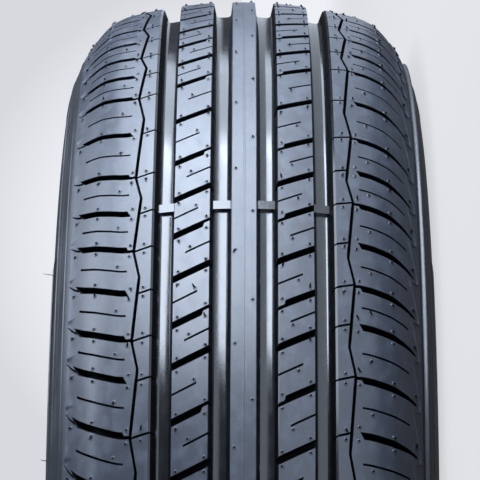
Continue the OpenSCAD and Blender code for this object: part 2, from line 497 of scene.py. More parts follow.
@dataclass(frozen=True)
class TreadHalf:
    """One half of the tread, from the middle of the inner groove to the edge of the shoulder."""

    half: Half
    pitches: Pitches = Pitches()
    crown: Crown = Crown()
    layout: Layout = Layout()
    segments: int = 560
    edge: float = 0.3
    base_depth: float = 11.0
    base_places: Pair = (66.0, 40.0)
    shoulder_end: float = 83.6
    slot_cutter: Cutter = Cutter(6.4, 0.3)
    sipe_cutter: Cutter = Cutter(5.2, 0.12)
    tail_cutter: Cutter = Cutter(0.9, 0.12)
    step: float = 2.2
    slot_step: float = 1.8
    tooth_step: float = 1.2
    outer_bevel: float = 0.9
    block_start: float = 46.0
    block_step: float = 1.9
    rib_inset: float = 2.5
    rib_points: int = 6
    bar_places: int = 6
    bar_first: float = 2.6
    bar_length: float = 5.2
    bar_height: float = 1.6
    bar_sunk: float = 1.0
    bar_slope: float = 0.5
    bar_inset: float = 0.4
    wall: Line = (
        (0.78, 0.66), (0.9, 0.8), (1.2, 0.9), (1.8, 0.965), (2.7, 0.992),
    )

    @property
    def name(self) -> str:
        """Name of the piece."""
        return f"tread_{self.half.name.lower()}"

    @property
    def wrap(self) -> Wrap:
        """Where the pattern lies on the tyre."""
        return Wrap(self.crown, self.half)

    def groove_side(self, z: float, sign: float, rim: float) -> list[tuple[float, float, Skin]]:
        """Wall of a straight groove from its edge to its floor, as [z, depth] with skins. The bevel and floor
        take GROOVE and the steep wall CUT, the darker finishes that paint the groove's shade.

        Args:
            z: Axial place of the edge.
            sign: 1 where the groove lies further out, -1 where it lies further in.
            rim: Width of the bevel at the edge.

        Returns:
            Places from the edge down.
        """
        deep = self.layout.groove_depth
        steep, *foot = [(z + sign * across, deep * share) for across, share in self.wall]
        return [
            (z - sign * rim, 0.0, Skin.BLOCK),
            (z, rim, Skin.GROOVE),
            (*steep, Skin.CUT),
            *((*place, Skin.GROOVE) for place in foot),
        ]

    def section(self) -> list[tuple[float, float, Skin]]:
        """Section from the inner groove to the shoulder, as [z, depth, skin of the stretch that follows]."""
        lay = self.layout
        middle = (lay.centre_rib + lay.rib_in) / 2
        inner = self.groove_side(lay.rib_in, -1, self.edge)[::-1]
        rib_end = self.groove_side(lay.rib_out, 1, self.edge)
        bevel = self.groove_side(lay.narrow_in - self.outer_bevel, -1, self.outer_bevel)[::-1]
        flat = np.linspace(lay.rib_in + self.rib_inset, lay.rib_out - self.rib_inset, self.rib_points)
        rib = [(float(z), 0.0, Skin.BLOCK) for z in flat]
        falling = np.arange(self.block_start, self.shoulder_end, self.block_step)
        outer = [(float(z), 0.0, Skin.BLOCK) for z in falling]
        row = [(middle, lay.groove_depth, Skin.GROOVE), *inner, *rib, *rib_end, *bevel, *outer]
        skins = [max(a[2].value, b[2].value) for a, b in zip(row[:-1], row[1:])]
        row = [(z, d, Skin(s)) for (z, d, _), s in zip(row, [*skins, 0])]
        return [*row, (self.shoulder_end, 0.0, Skin.HIDDEN)]

    def ring(self) -> bpy.types.Object:
        """Closed ring with the straight grooves and no slots yet."""
        row = self.section()
        z, depth = np.array([(a, d) for a, d, _ in row]).T
        back = np.array([self.shoulder_end - 1, *self.base_places, z[0]])
        places = self.crown.at(z, depth), self.crown.at(back, np.full(len(back), self.base_depth))
        axial, radius = (np.concatenate(pair) for pair in zip(*places))
        kinds = [skin.value for _, _, skin in row] + [Skin.HIDDEN.value] * len(back)
        shape = Shape()
        points = turned(self.half.value * axial, radius, self.segments)
        shape.add(points, quads(self.segments, len(axial), around=True), kinds * self.segments)
        piece = shape.mesh(self.name)
        face_outwards(piece)
        return piece

    def band(self, z1: float, z2: float, width: float, along: float = 0.0) -> tuple[np.ndarray, np.ndarray]:
        """Both sides of a cut along the slot line.

        Args:
            z1: Axial distance where it starts.
            z2: Axial distance where it ends.
            width: Width across the cut.
            along: Distance that the cut is moved along the tread.

        Returns:
            Left and right chain of [z, q].
        """
        z = np.linspace(z1, z2, max(2, math.ceil((z2 - z1) / self.step) + 1))
        q = self.layout.q(z, self.half) + along
        slope = np.gradient(q, z)
        h = width / 2 * np.hypot(1, slope)
        return np.column_stack([z, q - h]), np.column_stack([z, q + h])

    def rib_slot(self, i: int) -> Cut:
        """Slot of the intermediate rib; every second one narrows where it meets the inner groove."""
        lay = self.layout
        notch = [lay.rib_in + reach for reach in lay.notch_reach]
        z = np.array([lay.rib_in - lay.overrun, *notch, lay.rib_out + lay.overrun])
        h = lay.slot / 2 * lay.slant
        near = h * np.array([lay.notch_side, lay.notch_side, 1, 1]) if i % 2 else np.full(4, h)
        q = lay.q(z, self.half)
        left = resample(np.column_stack([z, q - h]), self.step)
        right = resample(np.column_stack([z, q + near]), self.step)
        count = max(len(left), len(right))
        return self.slot_cutter, self.evened(left, count), self.evened(right, count)

    @staticmethod
    def evened(chain: np.ndarray, count: int) -> np.ndarray:
        """Chain with points added in its longest stretches until it has count points."""
        while len(chain) < count:
            k = int(np.argmax(np.hypot(*np.diff(chain, axis=0).T)))
            chain = np.insert(chain, k + 1, (chain[k] + chain[k + 1]) / 2, axis=0)
        return chain

    def rib_sipe(self, i: int) -> Cut:
        """Sipe half-way between two slots of the intermediate rib, open to one groove."""
        lay = self.layout
        before, after = (-lay.overrun, -lay.sipe_stop) if i % 2 else (lay.sipe_stop, lay.overrun)
        along = self.pitches.gap(i, self.half) / 2
        return self.sipe_cutter, *self.band(lay.rib_in + before, lay.rib_out + after, lay.sipe, along)

    def narrow_sipe(self, i: int) -> Cut:
        """Sipe of the narrow rib, from the outer groove's wall to the zigzag groove."""
        lay = self.layout
        end = lay.zigzag_out if i % 2 else lay.narrow_stop
        return self.sipe_cutter, *self.band(lay.narrow_in - lay.narrow_overrun, end, lay.narrow_sipe)

    def shoulder_slot(self, i: int) -> Cut:
        """Slot of the shoulder, cut off on a slant at both ends."""
        lay = self.layout
        count = math.ceil((lay.shoulder_out - lay.shoulder_in) / self.slot_step) + 1
        left_reach, right_reach, share = lay.upper_end if self.half is Half.UPPER else lay.lower_end
        sides = []
        for sign, lead, reach in ((-1, lay.slot_lead, left_reach), (1, 0.0, right_reach)):
            z = np.linspace(lay.shoulder_in + lead, lay.shoulder_out + reach, count)
            taper = np.interp(z, [lay.taper_from, lay.shoulder_out + left_reach], [1.0, share])
            sides.append(np.column_stack([z, lay.q(z, self.half) + sign * lay.slot / 2 * taper]))
        return self.slot_cutter, *sides

    def shoulder_sipe(self, i: int) -> Cut:
        """Sipe of the shoulder, closed at both ends."""
        lay = self.layout
        return self.sipe_cutter, *self.band(*lay.shoulder_sipe, lay.sipe, self.pitches.gap(i, self.half) / 2)

    def neck(self, i: int) -> Cut:
        """Neck that joins every second shoulder slot to the zigzag groove."""
        lay = self.layout
        near = lay.shoulder_in + np.array([0.0, lay.neck_line])
        back, ahead = lay.neck_reach
        z = np.array([lay.zigzag_out - back, lay.shoulder_in, lay.shoulder_in + ahead])
        edge = np.interp(z, near, lay.q(near, self.half)) + lay.slot / 2
        return self.sipe_cutter, *(np.column_stack([z, edge - width]) for width in (lay.neck_width, 0.0))

    def tail(self, i: int) -> Cut:
        """Shallow tail that runs out of the slot's outer end."""
        z, width = np.array(self.layout.tail_line).T
        q = self.layout.q(z, self.half) + self.layout.tail_offset
        return self.tail_cutter, *(np.column_stack([z, q + side * width]) for side in (-1, 1))

    def along(self, i: int, z: float) -> float:
        """Distance along the tread from angle zero to slot i, at axial distance z."""
        around = self.half.value * self.pitches.angle(i) * self.crown.radius
        return float(self.layout.q(z, self.half)) - around

    def round_places(self, corners: list[Pair], step: float) -> tuple[np.ndarray, np.ndarray]:
        """Places along a line round the tyre, from its corners.

        Args:
            corners: Corners as (distance along the tread, axial distance), once round in any order.
            step: Longest stretch between two places.

        Returns:
            Distances along the tread and axial distances.
        """
        corners = sorted(corners)
        q0, z0 = corners[0]
        loop = np.array([*corners, (q0 + 2 * math.pi * self.crown.radius, z0)])
        line = resample(loop, step)[:-1]
        return line[:, 0], line[:, 1]

    def zigzag(self) -> Shape:
        """Zigzag groove, with a corner at every second slot and one after the short leg."""
        lay = self.layout
        corners = []
        for i in range(1, self.pitches.count, 2):
            q = self.along(i, lay.zigzag_out)
            leg = self.pitches.gap(i, self.half, 2) * lay.short_leg
            corners += [(q, lay.zigzag_out), (q + leg, lay.zigzag_in)]
        q, z = self.round_places(corners, self.step)
        inward = np.roll(z, -1) - np.roll(z, 1) < 0
        h = np.where(inward, lay.zigzag_inward, lay.zigzag / 2)
        h = (np.roll(h, 1) + h + np.roll(h, -1)) / 3
        levels = self.sipe_cutter.levels
        inner = [self.wrap.points(0.0, z - h - out, q, depth) for depth, out in levels]
        outer = [self.wrap.points(0.0, z + h + out, q, depth) for depth, out in levels[::-1]]
        # The groove's body carries the CUT skin: near-black, painted shade of the groove.
        return self.closed_round([*inner, *outer], Skin.CUT)

    def teeth(self) -> Shape:
        """Wedges with a sawtooth line where the shoulder blocks end. They lie flatter than the shoulder."""
        lay = self.layout
        line, outer = lay.tooth_line, lay.tooth_outer
        corners = []
        for i in range(self.pitches.count):
            start = self.along(i, line[0][1])
            gap = self.pitches.gap(i, self.half)
            corners += [(start + share * gap, z) for share, z in line]
            corners.append((start + line[-1][0] * gap + lay.tooth_jump, line[0][1]))
        q, z = self.round_places(corners, self.tooth_step)
        # How far the foot lies back, the height over the shoulder, and the axial place of the crest.
        if self.half is Half.UPPER:
            back, height, crest = 0.6, 0.06 + 0.11 * (outer - z), np.full_like(z, outer - 0.1)
        else:
            back, height, crest = 0.15, np.full_like(z, 0.55), np.minimum(z + 0.5, outer - 0.1)
        lines = ((z - back, back / 2), (crest, -height), (np.full_like(z, outer + 0.35), 0.5))
        rows = [self.wrap.points(0.0, place, q, depth) for place, depth in lines]
        return self.closed_round(rows, Skin.BLOCK)

    @staticmethod
    def closed_round(lines: Sequence[np.ndarray], skin: Skin) -> Shape:
        """Closed body with these lines of points all the way round."""
        grid = np.stack(lines, 1)
        shape = Shape()
        shape.add(grid.reshape(-1, 3), quads(*grid.shape[:2], around=True), skin)
        return shape

    def wear_bars(self) -> Shape:
        """Bars in the grooves that show when the tread is worn down."""
        lay = self.layout
        shape = Shape()
        half = self.bar_length / 2
        foot = (lay.groove_depth + self.bar_sunk, half + self.bar_slope)
        levels = (foot, (lay.groove_depth - self.bar_height, half))
        for k in range(self.bar_places):
            anchor = math.radians(self.bar_first + 360 / self.bar_places * k)
            for z1, z2 in ((lay.centre_rib, lay.rib_in), (lay.rib_out, lay.narrow_in)):
                z = np.linspace(z1 + self.bar_inset, z2 - self.bar_inset, 5)
                loops = [(np.concatenate([z, z[::-1]]), np.repeat([-reach, reach], 5)) for _, reach in levels]
                rings = [self.wrap.points(anchor, *loop, depth) for loop, (depth, _) in zip(loops, levels)]
                shape.add(*lofted(rings), Skin.GROOVE)
        return shape

    def cuts(self, makers: Sequence[Callable[[int], Cut]], every: int = 1) -> Shape:
        """One body of each kind for each slot.

        Args:
            makers: Methods that give the bodies; none of the bodies may touch another.
            every: 1 for each slot, 2 for every second one.

        Returns:
            The bodies.
        """
        shape = Shape()
        for i in range(every - 1, self.pitches.count, every):
            for make in makers:
                cutter, left, right = make(i)
                # Each body carries the default CUT skin for the walls and floor it leaves: the near-black
                # finish, painted shade.
                shape.add(*cutter.body(self.wrap, self.pitches.angle(i), left, right))
        return shape

    def build(self) -> bpy.types.Object:
        """Tread half with all its cuts, still closed on its hidden side."""
        piece = self.ring()
        combine(piece, "UNION", self.teeth())
        large = [self.rib_slot, self.rib_sipe, self.shoulder_slot, self.shoulder_sipe]
        small = [self.narrow_sipe, self.tail] if self.half is Half.UPPER else [self.narrow_sipe]
        for bodies in (self.cuts(large), self.zigzag(), self.cuts(small), self.cuts([self.neck], 2)):
            combine(piece, "DIFFERENCE", bodies)
        combine(piece, "UNION", self.wear_bars())
        return piece


@dataclass(frozen=True)
class CentreRib:
    """Plain rib in the middle of the tread with half of each inner groove, and the fine line of the mould."""

    tread: TreadHalf = TreadHalf(Half.UPPER)
    line_height: float = 0.12
    line_half: float = 0.35
    line_fall: float = 0.15
    flat: Pair = (2.5, 4.5)

    def build(self) -> bpy.types.Object:
        """Rib as one open surface from groove middle to groove middle."""
        lay, crown = self.tread.layout, self.tread.crown
        side = self.tread.groove_side(lay.centre_rib, 1, self.tread.edge)
        middle = (lay.centre_rib + lay.rib_in) / 2
        foot = self.line_half + self.line_fall
        row = [(0.0, -self.line_height), (self.line_half, -self.line_height), (foot, 0.0)]
        row += [(z, 0.0) for z in self.flat] + [(z, d) for z, d, _ in side] + [(middle, lay.groove_depth)]
        z, depth = np.array(row).T
        upper = np.column_stack(crown.at(z, depth))
        lower = (upper * [-1, 1])[:0:-1]
        profile = np.vstack([lower, upper])
        points, faces = revolved(profile, self.tread.segments)
        top = profile[:, 1] > crown.radius - 0.5
        # Faces below the rib's top take the darker GROOVE finish, painted shade of the groove.
        kinds = np.where(top[:-1] & top[1:], Skin.BLOCK.value, Skin.GROOVE.value).tolist()
        shape = Shape()
        shape.add(points, faces, kinds * self.tread.segments)
        return shape.mesh("centre_rib")


@dataclass(frozen=True)
class Sidewall:
    """One sidewall, from the edge of the shoulder round the bead to the inner liner at the mid-plane."""

    half: Half
    crown: Crown = Crown()
    start: float = 83.6
    segments: int = 440
    upper_ridge: Line = (
        (84.5, 280.3), (85.0, 279.25), (85.45, 278.75), (85.8, 278.1), (86.1, 277.0),
        (86.6, 275.8), (87.2, 274.4),
    )
    lower_ridge: Line = (
        (84.3, 280.0), (84.7, 278.8), (85.1, 278.55), (86.8, 278.6), (87.1, 278.2),
        (87.05, 277.2), (86.6, 275.4),
    )
    flank: Line = (
        (87.6, 273.2), (89.0, 270.2), (91.0, 263.3), (92.1, 255.4), (92.5, 248.0),
        (92.0, 239.8), (90.1, 231.0), (86.9, 222.5),
    )
    bead: Line = (
        (83.6, 216.4), (83.5, 215.2), (84.1, 214.4), (84.0, 213.2), (82.9, 212.2),
        (80.6, 208.2), (75.2, 202.2), (72.0, 197.7), (71.4, 192.7), (69.9, 190.5),
        (68.0, 189.75), (63.0, 189.75), (59.4, 189.8), (58.3, 190.5), (58.6, 192.7),
    )
    liner: Line = (
        (63.0, 203.7), (73.5, 215.7), (80.9, 226.0), (85.1, 240.0), (86.3, 248.0),
        (84.7, 260.0), (80.3, 271.0), (72.3, 281.0), (62.0, 290.4), (33.2, 295.2),
        (6.0, 297.4), (0.0, 297.4),
    )

    def outside(self) -> np.ndarray:
        """Line of the outer face from the shoulder to the bead's toe, as [axial distance, radius]."""
        edge = np.column_stack(self.crown.at(np.array([self.start])))
        ridge = self.upper_ridge if self.half is Half.UPPER else self.lower_ridge
        return through([tuple(edge[0]), *ridge, *self.flank, *self.bead], 4)

    def inside(self) -> np.ndarray:
        """Line of the liner from the bead's toe to the mid-plane."""
        return through([self.bead[-1], *self.liner], 4)

    def at(self, radius: np.ndarray, height: np.ndarray | float = 0.0) -> tuple[np.ndarray, np.ndarray]:
        """Place on the outer face of the sidewall between its ridge and its rim guard.

        Args:
            radius: Radii of the places.
            height: Heights over the face.

        Returns:
            Axial distances and radii.
        """
        line = through(self.flank, 8)[::-1]
        slope = np.gradient(line[:, 0], line[:, 1])
        z = np.interp(radius, line[:, 1], line[:, 0])
        lean = np.interp(radius, line[:, 1], slope)
        size = np.hypot(1, lean)
        return z + height / size, np.asarray(radius) - height * lean / size

    def points(self, angle: np.ndarray, radius: np.ndarray, height: np.ndarray | float) -> np.ndarray:
        """Points over the outer face, in millimetres."""
        axial, r = self.at(radius, height)
        return np.column_stack([r * np.cos(angle), r * np.sin(angle), self.half.value * axial])

    def around(self, line: np.ndarray) -> tuple[np.ndarray, Faces]:
        """Points and faces of a line of [axial distance, radius] that is turned about the axis."""
        points, faces = revolved(line * [self.half.value, 1], self.segments)
        return points, flipped(faces, self.half is Half.LOWER)

    def build(self) -> list[bpy.types.Object]:
        """Outer face and liner as two open surfaces."""
        made = []
        for name, line in (("sidewall", self.outside()), ("liner", self.inside())):
            shape = Shape()
            shape.add(*self.around(line), Skin.BLOCK)
            made.append(shape.mesh(f"{name}_{self.half.name.lower()}"))
        return made


@dataclass(frozen=True)
class SideRelief:
    """Raised bare fields, hatching, fine ridges and hairs on a sidewall.

    Angles are degrees. A hatching bar's section is given as places across it with how far it rises there: a
    share of its height above zero, and millimetres below. A hair's line is given as shares of its length
    with the radius that it has there.
    """

    wall: Sidewall
    first_angle: float = 303.0
    sweep: float = 150.0
    places: int = 2
    field_in: float = 240.0
    field_out: float = 250.5
    field_height: float = 0.55
    field_steps: int = 300
    slant: float = 2.4
    hatch_in: float = 253.0
    hatch_out: float = 266.0
    hatch_pitch: float = 1.05
    hatch_height: float = 0.28
    hatch_lean: float = 5.0
    hatch_section: Line = ((-0.27, -0.2), (-0.1, 1.0), (0.1, 1.0), (0.27, -0.2))
    lines: tuple[float, ...] = (268.0, 231.5, 230.0, 228.5)
    line_width: float = 0.9
    line_height: float = 0.3
    hairs: tuple[Triple, ...] = ((301.8, 256.0, 5.4), (279.4, 256.0, 3.2))
    hair_sides: int = 6
    hair_line: Line = ((-0.1, 0.3), (0.1, 0.26), (0.5, 0.22), (0.9, 0.16), (1.0, 0.06))
    hair_bend: float = 0.5

    def add_rows(self, shape: Shape, rows: Sequence[np.ndarray]) -> None:
        """Add the open surface through rows of points."""
        faces = quads(len(rows), len(rows[0]), wrap=False)
        shape.add(np.vstack(rows), flipped(faces, self.wall.half is Half.LOWER), Skin.BLOCK)

    def add_field(self, shape: Shape, start: float) -> None:
        """One raised field between two radii with slanted ends.

        Args:
            shape: Shape that takes the field.
            start: Angle of its first end, in degrees.
        """
        # Places across the field and how far it rises there, with bevelled edges and two fine grooves.
        across = np.array([0.0, 0.0, 0.06, 0.28, 0.30, 0.32, 0.5, 0.68, 0.70, 0.72, 0.94, 1.0, 1.0])
        lift = np.array([-0.3, 0.6, 1.0, 1.0, 0.7, 1.0, 1.0, 1.0, 0.7, 1.0, 1.0, 0.6, -0.3])
        share = np.concatenate([[0.0, 0.0], np.linspace(0.002, 0.998, self.field_steps), [1.0, 1.0]])
        end = np.concatenate([[-0.3, 0.5], np.ones(self.field_steps), [0.5, -0.3]])
        radius = self.field_in + (self.field_out - self.field_in) * across
        rows = []
        for s, e in zip(share, end):
            lean = self.slant * (1 - 2 * s) * (across - 0.5)
            angle = np.radians(start - self.sweep * s + lean)
            rows.append(self.wall.points(angle, radius, self.field_height * np.minimum(lift, e)))
        self.add_rows(shape, rows)

    def add_hatch(self, shape: Shape, start: float) -> None:
        """Slanted fine bars along one stretch.

        Args:
            shape: Shape that takes the bars.
            start: Angle where the stretch starts, in degrees.
        """
        middle = (self.hatch_in + self.hatch_out) / 2
        count = int(math.radians(self.sweep) * middle / self.hatch_pitch)
        across = np.linspace(self.hatch_in, self.hatch_out, 5)
        lean = self.hatch_lean * np.linspace(-0.5, 0.5, 5)
        height = self.hatch_height * np.array([0.0, 1.0, 1.0, 1.0, 0.0])
        for k in range(count):
            along = self.hatch_pitch * (k + 0.5)
            rows = []
            for offset, rise in self.hatch_section:
                angle = math.radians(start) - (along + lean + offset) / middle
                rows.append(self.wall.points(angle, across, height * rise if rise > 0 else np.full(5, rise)))
            self.add_rows(shape, rows)

    def add_line(self, shape: Shape, radius: float) -> None:
        """Fine ridge all the way round.

        Args:
            shape: Shape that takes the ridge.
            radius: Radius of its middle.
        """
        across = radius + self.line_width * np.array([-0.5, -0.2, 0.2, 0.5])
        rise = np.array([-0.1, self.line_height, self.line_height, -0.1])
        shape.add(*self.wall.around(np.column_stack(self.wall.at(across, rise))), Skin.BLOCK)

    def add_hair(self, shape: Shape, angle: float, radius: float, length: float) -> None:
        """Long thin hair of rubber, which a vent of the mould leaves, out of the sidewall.

        Args:
            shape: Shape that takes the hair.
            angle: Angle round the tyre, in degrees.
            radius: Radius of its root.
            length: How far it stands out.
        """
        turn = np.arange(self.hair_sides) * 2 * math.pi / self.hair_sides
        rows = []
        for share, thick in self.hair_line:
            around = math.radians(angle) + (thick * np.cos(turn) + self.hair_bend * share * share) / radius
            height = np.full(self.hair_sides, length * share)
            rows.append(self.wall.points(around, radius + thick * np.sin(turn), height))
        points, faces = capped(rows)
        shape.add(points, flipped(faces, self.wall.half is Half.LOWER), Skin.BLOCK)

    def build(self) -> bpy.types.Object:
        """All the relief of one sidewall as one piece."""
        shape = Shape()
        if self.wall.half is Half.UPPER:
            for angle, radius, length in self.hairs:
                self.add_hair(shape, angle, radius, length)
        turn = 360.0 / self.places
        for k in range(self.places):
            start = self.first_angle + turn * k
            self.add_field(shape, start)
            self.add_hatch(shape, start)
        for radius in self.lines:
            self.add_line(shape, radius)
        return shape.mesh(f"side_relief_{self.wall.half.name.lower()}")


@dataclass(frozen=True)
class Vents:
    """Stubs of rubber that the mould's vents leave, each on a faint round pad, with a few longer whiskers."""

    tread: TreadHalf
    pad: float = 1.15
    pad_height: float = 0.2
    stub: float = 0.46
    stub_height: float = 0.9
    height_share: Pair = (0.6, 1.25)
    stub_lean: float = 0.14
    whisker_share: float = 0.2
    whisker_reach: Pair = (1.1, 1.9)
    sides: int = 8
    seed: int = 11
    # Vents of one pitch: z at even and at odd slots, whether q is taken from the slot's line, q, and the
    # share of the pitch that is added to it.
    pattern: tuple[tuple[float, float, bool, float, float], ...] = (
        (17.8, 17.8, True, -3.395, 0.0),
        (17.8, 17.8, True, 3.395, 0.0),
        (30.8, 30.8, True, -3.395, 0.0),
        (30.8, 30.8, True, 3.395, 0.0),
        (22.8, 25.4, True, -2.2, 0.5),
        (46.9, 46.9, True, -2.5, 0.0),
        (46.9, 46.9, True, 2.5, 0.0),
        (52.9, 53.4, False, 11.4, 0.0),
        (53.3, 53.8, False, 17.9, 0.0),
        (59.4, 59.4, True, -2.6, 0.5),
        (69.6, 69.6, True, -3.4, 0.0),
        (69.6, 69.6, True, 3.2, 0.0),
        (80.0, 80.0, True, 4.6, 0.0),
    )
    centre_places: int = 39
    centre_z: float = 4.1
    upper_first: float = 305.9
    lower_first: float = 300.85

    def places(self) -> list[Triple]:
        """Places of the vents as (anchor angle, z, q)."""
        lay, pitches, half = self.tread.layout, self.tread.pitches, self.tread.half
        found = []
        for i in range(pitches.count):
            for even, odd, from_line, aside, share in self.pattern:
                z = odd if i % 2 else even
                q = aside + share * pitches.gap(i, half)
                found.append((pitches.angle(i), z, q + float(lay.q(z, half)) if from_line else q))
        first = self.upper_first if half is Half.UPPER else self.lower_first
        turn = 360 / self.centre_places
        centre = [(math.radians(first - turn * k), self.centre_z, 0.0) for k in range(self.centre_places)]
        return found + centre

    def add(self, shape: Shape, wrap: Wrap, place: Triple, draw: np.random.Generator) -> None:
        """One vent: pad and stub.

        Args:
            shape: Shape that takes the vent.
            wrap: Where the pattern lies on the tyre.
            place: Anchor angle, z and q.
            draw: Source of the small differences between the stubs.
        """
        anchor, z, q = place
        turn = np.arange(self.sides) * 2 * math.pi / self.sides
        whisker = draw.uniform() < self.whisker_share
        lean = draw.normal(0, self.stub_lean, 2)
        if whisker:
            across = draw.uniform(-1.0, 1.0)
            lean += np.array([across, draw.choice([-1.0, 1.0]) * draw.uniform(*self.whisker_reach)])
        height = self.stub_height * draw.uniform(*self.height_share)
        # Radius, height and share of the lean.
        rings = [
            (self.pad, -0.05, 0.0),
            (self.pad - 0.2, self.pad_height, 0.0),
            (self.stub + 0.28, self.pad_height, 0.0),
            (self.stub + 0.05, self.pad_height + 0.12, 0.1),
            (self.stub * 0.85, height * 0.85, 0.8),
            (self.stub * 0.5, height, 1.0),
        ]
        rows = [
            wrap.points(anchor, z + r * np.cos(turn) + lean[0] * s, q + r * np.sin(turn) + lean[1] * s, -h)
            for r, h, s in rings
        ]
        points, faces = capped(rows)
        # Pads keep the block finish; the stubs take the near-black CUT finish, painted shade that shows each
        # stub as a dark dot.
        pads = 3 * self.sides
        skins = [Skin.BLOCK.value] * pads + [Skin.CUT.value] * (len(faces) - pads)
        shape.add(points, flipped(faces, wrap.half is Half.UPPER), skins)

    def build(self) -> bpy.types.Object:
        """All the vents of one tread half."""
        shape = Shape()
        draw = np.random.default_rng(self.seed + self.tread.half.value)
        for place in self.places():
            self.add(shape, self.tread.wrap, place, draw)
        return shape.mesh(f"vents_{self.tread.half.name.lower()}")


class Value:
    """Number from a shader socket, with arithmetic that adds Math nodes."""

    def __init__(self, tree: Tree, socket: bpy.types.NodeSocket) -> None:
        """Wrap an output socket of the tree."""
        self.tree = tree
        self.socket = socket

    def math(self, operation: str, *others: Value | float) -> Value:
        """Result of a Math node with this value as its first input."""
        values = dict(enumerate([self, *others]))
        return self.tree.node("ShaderNodeMath", {"operation": operation}, values)

    def __add__(self, other: Value | float) -> Value:
        """Sum."""
        return self.math("ADD", other)

    def __sub__(self, other: Value | float) -> Value:
        """Difference."""
        return self.math("SUBTRACT", other)

    def __mul__(self, other: Value | float) -> Value:
        """Product."""
        return self.math("MULTIPLY", other)

    def __rsub__(self, other: float) -> Value:
        """Number minus this value."""
        return self.tree.node("ShaderNodeMath", {"operation": "SUBTRACT"}, {0: other, 1: self})

    __radd__ = __add__
    __rmul__ = __mul__

    def ramp(self, low: float, high: float) -> Value:
        """This value taken from low..high to 0..1 with soft ends."""
        inputs = {"Value": self, "From Min": low, "From Max": high}
        return self.tree.node("ShaderNodeMapRange", {"interpolation_type": "SMOOTHSTEP"}, inputs)


class Tree:
    """Node tree of a material or world."""

    def __init__(self, owner: bpy.types.Material | bpy.types.World) -> None:
        """Empty the owner's node tree."""
        owner.use_nodes = True
        self.nodes = owner.node_tree.nodes
        self.links = owner.node_tree.links
        self.nodes.clear()

    def node(
        self,
        kind: str,
        settings: dict[str, object] | None = None,
        inputs: dict[str | int, object] | None = None,
        output: str | int = 0,
    ) -> Value:
        """Add a node of any type.

        Args:
            kind: Type of the node.
            settings: Attributes of the node, set before its inputs.
            inputs: Numbers, colours or values for its sockets, by name or place.
            output: Socket to return.

        Returns:
            One output of the node.
        """
        made = self.nodes.new(kind)
        for name, value in (settings or {}).items():
            setattr(made, name, value)
        for key, value in (inputs or {}).items():
            if isinstance(value, Value):
                self.links.new(value.socket, made.inputs[key])
            else:
                made.inputs[key].default_value = value
        return Value(self, made.outputs[output])

    def finish(self, kind: str, shader: Value) -> None:
        """Add the output node of this kind and link the shader to it."""
        self.links.new(shader.socket, self.nodes.new(kind).inputs["Surface"])

    def blend(self, factor: Value, low: tuple[float, ...], high: tuple[float, ...]) -> Value:
        """Colour between two colours."""
        settings = {"data_type": "RGBA"}
        return self.node("ShaderNodeMix", settings, {0: factor, 6: (*low, 1.0), 7: (*high, 1.0)}, 2)


@dataclass(frozen=True)
class Rubber:
    """Finish of moulded rubber: dark, with a pale bloom in patches and the fine lines of the mould."""

    name: str
    dark: Triple
    bloom: Triple
    roughness: float
    bloom_roughness: float
    bump: float
    specular: float = 1.0
    ior: float = 1.65
    patch: Triple = (170.0, 120.0, 90.0)
    lines: Triple = (900.0, 30.0, 900.0)

    def material(self) -> bpy.types.Material:
        """Material with this finish."""
        owner = bpy.data.materials.new(self.name)
        tree = Tree(owner)
        place = tree.node("ShaderNodeTexCoord", output="Object")
        split = tree.node("ShaderNodeSeparateXYZ", inputs={0: place})
        x, y, z = (Value(tree, split.socket.node.outputs[k]) for k in range(3))
        around = y.math("ARCTAN2", x) * (Crown().radius * MM)
        out = (x * x + y * y).math("SQRT")
        flat = tree.node("ShaderNodeCombineXYZ", inputs={0: z, 1: around, 2: out})
        patches = self.noise(tree, flat, self.patch, 4.0, 0.62).ramp(0.42, 0.68)
        lines = self.noise(tree, flat, self.lines, 2.0, 0.5)
        grain = self.noise(tree, flat, (2600.0,) * 3, 2.0, 0.6)
        speckle = self.noise(tree, flat, (650.0,) * 3, 3.0, 0.7)
        factor = patches * 0.6 + lines * 0.25 * patches + speckle * 0.5 - 0.1
        colour = tree.blend(factor, self.dark, self.bloom)
        rough = patches * (self.bloom_roughness - self.roughness) + lines * 0.06 + (self.roughness - 0.03)
        height = grain * 0.5 + lines * 0.5
        relief = {"Strength": self.bump, "Distance": 0.0002, "Height": height}
        normal = tree.node("ShaderNodeBump", inputs=relief)
        shader = tree.node(
            "ShaderNodeBsdfPrincipled",
            inputs={
                "Base Color": colour,
                "Roughness": rough,
                "Normal": normal,
                "IOR": self.ior,
                "Specular IOR Level": self.specular,
            },
        )
        tree.finish("ShaderNodeOutputMaterial", shader)
        return owner

    @staticmethod
    def noise(tree: Tree, place: Value, scale: Triple, detail: float, rough: float) -> Value:
        """Noise with its own scale along, around and out of the tread."""
        stretched = tree.node("ShaderNodeVectorMath", {"operation": "MULTIPLY"}, {0: place, 1: scale})
        inputs = {"Vector": stretched, "Scale": 1.0, "Detail": detail, "Roughness": rough}
        return tree.node("ShaderNodeTexNoise", inputs=inputs)


BLOCK_RUBBER = Rubber("block_rubber", (0.060, 0.071, 0.097), (0.102, 0.120, 0.160), 0.34, 0.42, 0.25)
# Far darker than the block finish, for groove floors, the bevels at groove edges, the wear bars and the
# centre rib's groove side: painted shade of the grooves. Its low roughness lets the floors mirror the lamps.
GROOVE_SHADE_RUBBER = Rubber("groove_rubber_painted_shade", (0.010, 0.012, 0.017), (0.018, 0.021, 0.030), 0.17, 0.22, 0.06)
